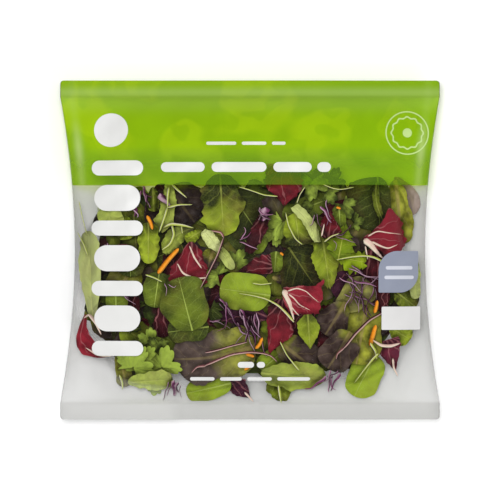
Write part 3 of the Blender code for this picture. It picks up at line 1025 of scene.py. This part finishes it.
def stalks_and_strands(side, kinds, draw):
    """Thin things that lie on the leaves."""
    stalk, cabbage, carrot = kinds["leaf"], kinds["cabbage"], kinds["carrot"]
    for route, radii, tone in (
        ([(-8, -31.5), (2, -33), (12, -35.5), (21, -40.5), (27, -46.5), (32, -52.5)], (0.2, 0.6, 1.0), 0.3),
        ([(63, -7), (73, -5), (83, -4), (90, -5), (98, -9)], (0.4, 0.6, 0.9), 0.15),
        ([(26, 27), (28, 18), (33, 8), (38, 4)], (0.5, 0.5), 0.2),
        ([(53, 48), (60, 45), (66, 44), (76, 46)], (0.35, 0.4), 0.3),
        ([(-8, 46), (2, 43), (10, 40), (20, 39)], (0.4, 0.5), 0.15),
        ([(34, 34), (36, 40), (40, 46)], (0.35, 0.35), 0.4),
        ([(52, 10), (54, 19)], (0.6, 0.4), 0.8),
        ([(54, 6), (59, 10), (65, 12)], (0.6, 0.35), 0.4),
        ([(22, -67), (27, -77), (36, -88)], (0.5, 0.4, 0.7), 0.05),
        ([(-76, -18), (-70, -20), (-64, -23)], (0.6, 0.5), 0.1),
        ([(-126, 36), (-123, 22), (-120, 12)], (0.5, 0.4), 0.2),
        ([(-127, 13), (-122, 4), (-119, -4)], (0.5, 0.4), 0.2),
        ([(2, -24), (8, -25), (16, -24)], (0.5, 0.4), 0.1),
        ([(-57, 48), (-53, 44), (-46, 38)], (0.9, 0.7, 0.3), 0.3),
        ([(-59, 46), (-60, 38), (-60, 31)], (0.8, 0.7, 0.4), 0.2),
        ([(-60, 31), (-52, 33), (-42, 33)], (0.9, 0.6, 0.3), 0.25),
        ([(-60, 31), (-62, 24), (-66, 13)], (0.8, 0.7, 0.4), 0.2),
        ([(-41, 16), (-49, 18), (-58, 19), (-63, 16)], (0.3, 0.9, 1.0, 0.5), 0.25),
        ([(-57, 19), (-55, 11), (-58, 4), (-64, 0)], (0.8, 0.8, 0.5), 0.2),
        ([(-50, 18), (-49, 12)], (0.6, 0.3), 0.3),
        ([(94, -76), (90, -80), (84, -88), (77, -98)], (0.9, 0.5, 0.3), 0.15),
        ([(88, -68), (92, -74), (93, -80)], (0.9, 0.7), 0.2),
        ([(21, -100), (22, -106), (23, -113)], (0.8, 0.9, 0.4), 0.0),
        ([(-96, -92), (-94, -98), (-94, -103)], (0.7, 0.8, 0.4), 0.0),
        ([(90, -66), (96, -70), (103, -70.5), (110, -68.5)], (0.5, 1.1, 1.2, 0.6), 0.95),
        ([(105, -80), (106, -87), (109, -93)], (0.9, 0.7, 0.4), 1.0),
        ([(-4, -105), (-1, -108), (2.5, -112)], (0.8, 0.7, 0.4), 1.0),
        ([(-119, -47), (-113, -54), (-109, -62)], (0.4, 0.7, 0.5), 1.0),
        ([(-121, -72), (-113, -77), (-101, -77)], (0.3, 0.7, 1.6, 1.4), 1.0),
        ([(-122, -50), (-118, -47), (-114, -51), (-111, -58)], (0.4, 0.9, 0.9, 0.4), 0.8),
    ):
        side.stalk(stalk, route, radii, (0.4, 0.6), tone)
    for route, radii, tone in (
        ([(-33, -84.5), (-22, -79.5), (-13, -76), (-1, -74.5), (8, -75), (16, -77), (20, -82)], (1.0, 0.8, 0.5), 0.5),
        ([(-43, -90), (-39, -85.5), (-32, -84.5)], (0.3, 0.6, 1.2), 1.6),
        ([(-33, -75), (-24, -73), (-14, -70), (-2, -67)], (0.8, 0.6), 0.3),
        ([(68, -72), (70, -70), (76, -62), (87, -51), (98, -45)], (0.9, 1.0, 1.0, 0.7), 0.2),
        ([(63, -80), (63.5, -76), (69, -71)], (0.35, 0.6, 1.1), 1.6),
        ([(-28, 14), (-21, 13), (-19, 9)], (0.4, 0.8, 0.8), 0.9),
        ([(-19, 9), (-23, -3), (-29, -15), (-36, -28)], (0.9, 0.7, 0.5), 0.2),
    ):
        side.stalk(kinds["dark"], route, radii, (0.4, 0.6), tone, flat=0.7, sides=10)
    for start, end, radius in (
        ((-67, -17), (-52, 1), 1.9), ((-75, 25), (-71, 15), 1.5), ((88, -70), (92, -55), 1.9),
        ((91, -46), (93, -37), 1.6), ((4, -72), (9, -64), 1.4), ((1, -82), (-4, -88), 1.5),
        ((-3, -76), (3, -78), 1.4), ((63, 31), (66, 30), 1.0), ((22, -2), (24, -4), 1.0),
    ):
        bow = (np.array(start) + end) / 2 + draw.normal(0, 0.6, 2)
        side.stalk(carrot, [start, bow, end], (radius, radius * 0.8), (0.5, 0.9), 0.6, sides=4, flat=0.7)
    for base, heading, length, count, spread, fan, width in (
        ((-20, -36), -68, 30, 5, 2.5, 8, 0.65), ((-8, -46), -75, 26, 7, 4, 16, 0.75),
        ((3, -46), -95, 26, 6, 3, 14, 0.55), ((70, -18), -40, 26, 7, 4, 18, 0.6),
        ((84, -22), -110, 26, 7, 4, 20, 0.6), ((72, -32), -10, 18, 4, 3, 20, 0.5),
        ((-56, -95), -125, 14, 3, 2, 14, 0.8), ((-53, -96), -110, 12, 3, 2, 14, 0.5),
        ((58, -90), -105, 18, 4, 2.5, 12, 1.0), ((66, -88), -120, 16, 2, 1, 8, 0.8),
        ((-78, 45), -85, 18, 5, 2, 12, 0.8), ((-88, 33), -25, 12, 3, 1.5, 10, 0.9),
        ((6, 32), -70, 12, 3, 2, 14, 0.6), ((-6, 4), 10, 16, 3, 2, 16, 0.45),
        ((50, 32), -70, 16, 5, 3, 20, 0.6), ((-30, -53), -10, 14, 2, 1.5, 16, 0.45),
        ((-92, -28), -80, 14, 3, 1.5, 14, 0.8), ((-60, -24), -60, 10, 2, 2, 22, 0.4),
        ((-104, 4), -80, 12, 2, 1.5, 14, 0.7), ((60, 9), -20, 14, 3, 2, 20, 0.5),
        ((-65, 42), -80, 15, 1, 0, 4, 1.5), ((12, 31), -100, 9, 1, 0, 4, 2.0),
    ):
        side.bundle(cabbage, base, heading, length, count, draw, spread, fan, width)


def wine_leaves(side, kinds):
    """The torn radicchio leaves that lie right under the front film, with their cream ribs."""
    def lay(base, tip, width, tone, sides, other, ribs=(), depth=2, dim=0.25, pale=0.0):
        wine = side.leaf(
            kinds["radicchio"], base, tip, width, tone, depth, pale=pale, dim=dim,
            torn=True, sides=sides, other=other,
        )
        for route, radii in ribs:
            side.stalk(kinds["leaf"], route, radii, tone=0.75, on=wine, flat=0.6)

    thin = (0.6, 0.4, 0.2)
    lay(
        (24, -30), (52, -34), 28, (0.6, 0.75), (0.2, 0.28, 0.38, 0.44, 0.5, 1.0), (0.25, 1.05, 1.1, 1.05, 1.0, 0.85),
        (
            ([(27, -30), (34, -27.5), (41, -30), (45, -34), (50, -38)], thin),
            ([(28, -32), (32, -35), (36, -40), (44, -44)], thin),
            ([(24.5, -29), (26.5, -33), (29, -39), (32, -51)], (2.7, 2.0, 1.1, 0.5)),
            ([(30, -41), (33, -45), (36, -48)], (0.5, 0.3)),
        ),
        (1, 2), (0.1, 0.0),
    )
    lay((23, -36), (14, -75), 28, (0.1, 0.8), (0.25, 0.5, 0.85, 1.0, 0.55, 0.05), (0.3, 0.6, 0.5, 0.36, 0.2, 0.04), (), (2, 3))
    lay(
        (83, 7), (113, 14), 36, (0.4, 1.0), (0.12, 0.24, 0.42, 0.72, 1.05, 0.5), (0.12, 0.4, 0.72, 0.8, 0.7, 0.6),
        (
            ([(86, 10), (93, 14), (101, 12.5), (111, 11.5)], thin),
            ([(89, 6), (95, 3), (101, 1), (108, 4)], (0.9, 0.6, 0.25)),
            ([(83, 7.5), (87, 5), (92, -1), (97, -6)], (2.8, 2.2, 1.3, 0.5)),
            ([(84, 3), (85, -2), (86, -7)], (0.6, 0.3)),
        ),
        (1, 1.5),
    )
    lay(
        (-43, 6), (-44, -25), 28, (0.45, 0.6), (0.1, 0.58, 0.64, 0.9, 0.92, 0.85), (0.1, 0.4, 0.66, 0.9, 1.1, 1.07),
        (
            ([(-44, 3), (-40.5, -5.5), (-35, -13.5)], (0.5, 0.7, 0.5)),
            ([(-53, -9.5), (-49, -17), (-40, -21), (-31, -20)], (0.5, 0.8, 0.5)),
        ),
        (2.5, 1.5),
    )
    lay((58, 9), (58, 29), 18, (0.35, 0.5), (0.6, 0.7, 0.75, 0.7, 0.4, 0.04), (0.3, 1.0, 0.8, 0.5, 0.25, 0.04), (), 3)
    lay((16, -12), (-8, -15), 17, (0.25, 0.2), (0.5, 0.6, 0.5, 0.4, 0.3, 0.1), (1.0, 1.1, 0.9, 0.7, 0.4, 0.1), (), 3)
    lay((10, 24), (-1, -3), 11, (0.15, 0.1), (0.8, 1.0, 1.0, 0.9, 0.7, 0.4), (0.7, 0.9, 1.0, 1.0, 0.9, 0.6), (), 3.5)
    lay((24, 64), (25, 33), 28, (0.6, 0.45), (0.8, 0.95, 0.96, 0.96, 0.7, 0.04), (0.8, 0.9, 0.9, 0.93, 0.4, 0.04), (), 3)


def placed_leaves(side, kinds):
    """The leaves that face the front film, from the outermost inwards."""
    spinach, rocket, lettuce = kinds["spinach"], kinds["rocket"], kinds["lettuce"]
    bronze, radicchio = kinds["bronze"], kinds["radicchio"]
    pointed = dict(torn=True, sides=(0.3, 0.9, 1.0, 0.8, 0.45, 0.03), ruffle=(0.8, 3))

    side.leaf(spinach, (-42, -59), (-52, -20), 31, (0.3, 0.18), (1.5, 1), dim=0.1)
    side.leaf(spinach, (15, -33), (-22, -28), 26, (0.9, 0.8), (1.5, 1), roll=0.08)
    side.leaf(lettuce, (42, -47), (44, -72), 17, (0.35, 0.6), **pointed)
    wine_leaves(side, kinds)
    side.leaf(rocket, (64, -8), (69, 17), 24, (0.34, 0.5), **{**pointed, "sides": (0.3, 1.0, 1.0, 0.75, 0.4, 0.03)})
    side.leaf(rocket, (63, -5), (84, -9), 20, (0.8, 0.9), torn=True, sides=(0.2, 0.5, 0.7, 0.8, 0.8, 0.5), other=(0.2, 0.8, 1.2, 1.1, 0.7, 0.4))
    side.leaf(lettuce, (-34, 14), (-22, 0), 9, (1.1, 0.8), (2, 2.5), pale=0.7, torn=True, sides=(0.5, 1.0, 1.1, 0.9, 0.6))
    side.leaf(lettuce, (-27, 7), (-12, -14), 6, (0.9, 0.7), (2.5, 3), pale=0.3, ruffle=(0.6, 2))
    side.leaf(bronze, (-26, 2), (-31, -14), 13, (0.1, 0.35), (3, 4))
    side.leaf(lettuce, (-22, 56), (-19, 10), 28, (-0.6, 1.0), (2.5, 1.5), roll=-0.08, sides=(0.8, 1.0, 1.2, 1.2, 0.5))
    side.leaf(lettuce, (-35, 14), (-47, 7), 7, 0.7, 3)
    side.leaf(lettuce, (-74, 20), (-74, -10), 15, (0.3, 1.0), (2, 1.5), sides=(0.9, 1.1, 1.1, 1.0, 0.7))
    side.leaf(lettuce, (-59, 48), (-65, 14), 14, 0.9, (1.5, 2), pale=0.15, bow=0.06, torn=True, sides=(0.5, 0.6, 0.9, 0.7, 1.1, 0.4))
    side.leaf(lettuce, (-42, 16), (-63, -2), 13, (0.4, 0.8), (2.5, 2), pale=0.1, bow=-0.12, torn=True, sides=(0.3, 0.8, 1.0, 1.0, 0.9, 0.4))
    side.leaf(bronze, (-60, 46), (-40, 20), 36, (0.8, 1.0), (6, 5), dim=(0.25, 0.9))
    side.leaf(lettuce, (32, 32), (49, 6), 8, 0.9, 1.5, pale=0.45, ruffle=(0.8, 2), bow=0.08, torn=True, sides=(0.8, 1.0, 0.9, 1.0, 0.5))
    side.leaf(lettuce, (33, 27), (36, 3), 20, (1.8, -0.5), (2.5, 3))
    side.leaf(spinach, (65, 30), (66, 17), 9, 0.3)
    side.leaf(spinach, (19, -1), (18, -16), 10, 0.35)
    side.leaf(spinach, (10, 11), (3, -2), 11, 0.4)
    side.leaf(lettuce, (53, 8), (58, -28), 19, (0.5, 0.55), (3, 2), torn=True, sides=(0.7, 0.9, 1.0, 0.9, 0.6, 0.2), ruffle=(1.2, 3))
    side.leaf(lettuce, (28, 2), (47, -26), 34, (-0.1, -0.1), 3, dim=(0.25, 0.8), crumple=1.8, crease=20, ruffle=(1.5, 3))
    side.leaf(bronze, (16, -20), (34, -24), 8, 0.95, 3)
    side.leaf(lettuce, (-90, -97.5), (-57, -95), 13, 0.95, 1, pale=0.2)
    for x, y, size, turn, tone in (
        (25, 24, 15, -110, 0.8), (22, 14, 12, 200, 0.8), (0, -21, 9, 190, 0.7),
        (-88, -90, 18, 60, 0.9), (-78, -86, 17, 120, 0.9), (-66, -90, 17, 70, 1.3), (-74, -93, 15, -20, 1.0),
        (-66, -76, 12, 120, 0.3), (-74, -70, 11, 80, 0.7), (-20, -20, 15, 150, 0.6), (-12, -12, 12, 60, 0.5),
        (46, 55, 16, -95, 0.5), (52, 42, 13, 20, 0.35), (57, 46, 14, 60, 0.3), (66, 36, 12, -60, 0.4),
        (74, 20, 8, 10, 0.3), (47, 30, 10, 200, 0.3), (-30, -40, 12, -60, 0.05), (40, 50, 13, 30, 0.45),
    ):
        side.leaflet(kinds["coriander"], (x, y), size, turn, tone)
    side.leaf(spinach, (-30, -56), (-60, -60), 18, -0.05, 3)
    side.leaf(radicchio, (-66, -42), (-63, -64), 10, 0.05, 3)
    side.leaf(spinach, (-66, -16), (-70, -42), 19, (0.1, 0.3), 3)
    side.leaf(spinach, (-63, -22), (-66, -36), 9, 0.7, 2.5)
    side.leaf(bronze, (4, -70), (-56, -80), 36, (-0.2, 1.0), (2, 1), pale=0.06, bow=0.05, sides=(0.9, 1.1, 1.0, 1.0, 1.0))
    side.leaf(bronze, (74, -60), (57, -87), 24, (0.9, 1.1), (2, 1.5), sides=(0.7, 1.0, 1.1, 1.1, 1.0))
    side.leaf(bronze, (70, -38), (55, -62), 20, (0.8, 0.9), 3)
    side.leaf(bronze, (64, -44), (88, -24), 20, -1.2, 3, pale=0.15)
    side.leaf(bronze, (86, -36), (78, -84), 28, (-0.9, -1.3), (2.5, 2), ruffle=(1.8, 5))
    side.leaf(radicchio, (91, 2), (93, -50), 20, 0.15, 4, sides=(0.9, 1.1, 1.1, 1.0, 0.8))
    side.leaf(lettuce, (93, 50), (97, 22), 5, (0.3, 0.05), (2.5, 3), dim=0.25, bow=-0.1)
    side.leaf(spinach, (94, 54), (95, 14), 42, (-0.05, -0.5), 3, dim=(0.0, 0.4), ruffle=(1.0, 3), crumple=1.6, crease=20, sides=(0.3, 0.4, 0.5, 0.4), other=(0.9, 1.2, 1.1, 0.9))
    side.leaf(bronze, (107, 52), (112, 4), 17, (-0.75, -0.75), (3, 2), crumple=0.8)
    side.leaf(bronze, (107, 54), (121, 26), 10, (0.6, 0.9), (4, 3), bow=0.12, pale=0.62)
    side.leaf(spinach, (-14, -98), (-47, -106), 16, (0.85, 0.75), 1)
    side.leaf(spinach, (92, -77), (77, -108), 23, (0.85, 1.1), 1)
    side.leaf(lettuce, (88, -64), (92, -78), 8, 0.95, 1.5)
    side.leaf(lettuce, (8, -90), (56, -95), 19, (0.5, 0.85), 1.5, pale=0.1, ruffle=(1.4, 5), other=(0.6, 1.2, 1.4, 1.0, 0.4))
    side.leaf(lettuce, (20, -92), (25, -115), 20, (0.4, 0.2), (2, 1.5), **pointed)
    side.leaf(bronze, (20, -66), (48, -88), 26, (0.7, 0.6), 3)
    side.leaf(spinach, (22, -76), (8, -88), 16, 0.8, 2.5)
    side.leaf(radicchio, (-14, -96), (0, -109), 14, 0.0, 1.5, pale=-0.6, dim=0.15, **pointed)
    side.leaf(radicchio, (100, -66), (107, -88), 19, 0.6, 1.5, pale=-0.6, torn=True, sides=(1.0, 1.0, 0.7, 0.4, 0.1))
    side.leaf(radicchio, (-121, -47), (-104, -78), 12, (0.6, 0.9), 1.5, bow=-0.3)
    side.leaf(lettuce, (-115.5, -50), (-118.5, 14), 14, 0.5, 1, pale=0.4, ruffle=(0.6, 2))
    side.leaf(radicchio, (-95, -15), (-90, 4), 14, 0.45, 3)
    side.leaf(spinach, (-98, -44), (-98, -27), 16, 0.35, 3)
    side.leaf(radicchio, (-86, -28), (-88, -46), 12, 0.0, 4, dim=0.4)
    side.leaf(lettuce, (-108, 38), (-98, 12), 16, 0.85, 3, pale=0.2)
    side.leaf(lettuce, (-94, 26), (-88, 8), 12, 0.5, 3)
    side.leaf(lettuce, (-71, 46), (-70, 28), 9, 0.25, 3)
    side.leaf(bronze, (-95, -72), (-92, -101), 12, (0.0, -0.3), (2, 1.5))
    side.leaf(lettuce, (122, -6), (121, -36), 7, 0.6, 3, pale=0.3)
    side.leaf(lettuce, (106, -30), (122, -42), 14, 0.2, 3)
    side.leaf(lettuce, (102, -56), (118, -66), 13, 0.7, 3)
    side.leaf(spinach, (-14, 42), (6, 12), 28, -0.15, 4, dim=0.5)
    side.leaf(spinach, (-14, 22), (4, -4), 20, -0.2, 4)
    side.leaf(radicchio, (13, -50), (-27, -38), 20, -0.1, 4, pale=-0.7)
    side.leaf(radicchio, (86, -16), (60, -31), 19, 0.0, 4, pale=-0.7)


def loose_leaves(side, kinds, count, draw, depths, tone_limits):
    """Leaves of every kind strewn under the placed ones, darker where they lie deeper."""
    sorts = (
        ("spinach", 28, 0.66), ("lettuce", 36, 0.6), ("bronze", 36, 0.66),
        ("radicchio", 28, 0.75), ("rocket", 32, 0.5), ("coriander", 14, 1),
    )
    weights = np.array([0.18, 0.18, 0.26, 0.22, 0.04, 0.12])
    for number in range(count):
        name, length, ratio = sorts[draw.choice(len(sorts), p=weights)]
        length = length * draw.uniform(0.7, 1.2)
        while True:
            base = (draw.uniform(-126, 126), draw.uniform(-105, 60))
            turn = draw.uniform(0, TURN)
            tip = (base[0] + length * math.cos(turn), base[1] + length * math.sin(turn))
            share, lean = np.meshgrid((0.0, 0.3, 0.6, 0.9), (-0.35, 0.0, 0.35))
            x = base[0] + length * (share * math.cos(turn) - lean * math.sin(turn))
            y = base[1] + length * (share * math.sin(turn) + lean * math.cos(turn))
            if heap_share(x, y).max() < 1.0:
                break
        deep = draw.uniform(*depths)
        depth = (deep, deep + draw.uniform(-4, 4))
        tone = draw.uniform(*tone_limits)
        if name == "coriander":
            side.leaflet(kinds[name], base, length, math.degrees(turn), tone, depth, seed=number)
            continue
        grid = (36, 9) if name == "rocket" else (22, 13)
        side.leaf(
            kinds[name], base, tip, length * ratio, tone, depth,
            roll=draw.uniform(-0.25, 0.25), seed=number, grid=grid,
        )


def salad():
    """Every leaf, stalk and strand in the bag."""
    kinds = leaf_kinds()
    draw = np.random.default_rng(11)
    front, back = Side(1), Side(-1)
    stalks_and_strands(front, kinds, draw)
    placed_leaves(front, kinds)
    # deeper loose leaves get darker tones: painted shade
    loose_leaves(front, kinds, 110, draw, (3, 7), (-0.05, 0.5))
    loose_leaves(front, kinds, 110, draw, (8, 13), (-0.1, 0.3))
    loose_leaves(back, kinds, 110, draw, (1, 6), (0.0, 0.9))
    return [piece.make() for piece in kinds.values()]


# ---------------------------------------------------------------- stage


def stage():
    """A plain pale floor, soft lights and a camera straight above the bag."""
    floor_look = Look("floor")
    colour = floor_look.mix(floor_look.noise(floor_look.place(), 400), srgb(248, 248, 248), srgb(250, 250, 250))
    material = floor_look.matter(colour, 0.8, floor_look.node("NewGeometry", {}, output="Normal"))
    bpy.ops.mesh.primitive_plane_add(size=8, location=(0, 0, -0.0002))
    floor = bpy.context.object
    floor.name = "floor"
    floor.data.materials.append(material)

    world = bpy.data.worlds.new("studio")
    world.use_nodes = True
    world.node_tree.nodes["Background"].inputs["Color"].default_value = (1, 1, 1, 1)
    world.node_tree.nodes["Background"].inputs["Strength"].default_value = 0.2
    bpy.context.scene.world = world

    for name, at, size, power in (
        ("key", (-0.22, 0.34, 2.93), 1.2, 72),
        ("fill", (1.3, -1.9, 2.1), 1.2, 22),
        ("left", (-2.4, -0.5, 1.3), 0.8, 5),
        ("right", (2.4, 0.6, 1.3), 0.8, 8),
    ):
        light = bpy.data.lights.new(name, "AREA")
        light.size, light.energy = size, power
        lamp = bpy.data.objects.new(name, light)
        lamp.location = at
        lamp.rotation_mode = "QUATERNION"
        lamp.rotation_quaternion = lamp.location.to_track_quat("Z", "Y")
        bpy.context.scene.collection.objects.link(lamp)

    camera = bpy.data.cameras.new("camera")
    camera.lens, camera.sensor_width = 300, 36
    eye = bpy.data.objects.new("camera", camera)
    seen_width = FLAT_WIDTH * MM * 500 / 379.5
    eye.location = (0, 0, SEAL_HEIGHT * MM + seen_width * camera.lens / camera.sensor_width)
    camera.clip_end = 20
    bpy.context.scene.collection.objects.link(eye)
    bpy.context.scene.camera = eye
    bpy.context.scene.view_settings.view_transform = "Standard"


def build():
    clear = film_look()
    end = BAG_LENGTH / 2
    for made in (
        film_shell("film_clear", "clear_film", clear, -end, BAND_EDGE),
        film_shell("film_green_band", "green_print", band_look(), BAND_EDGE, end),
    ):
        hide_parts("salad_bag")
    white_print()
    label_print()
    heap_core()
    salad()
    stage()


build()
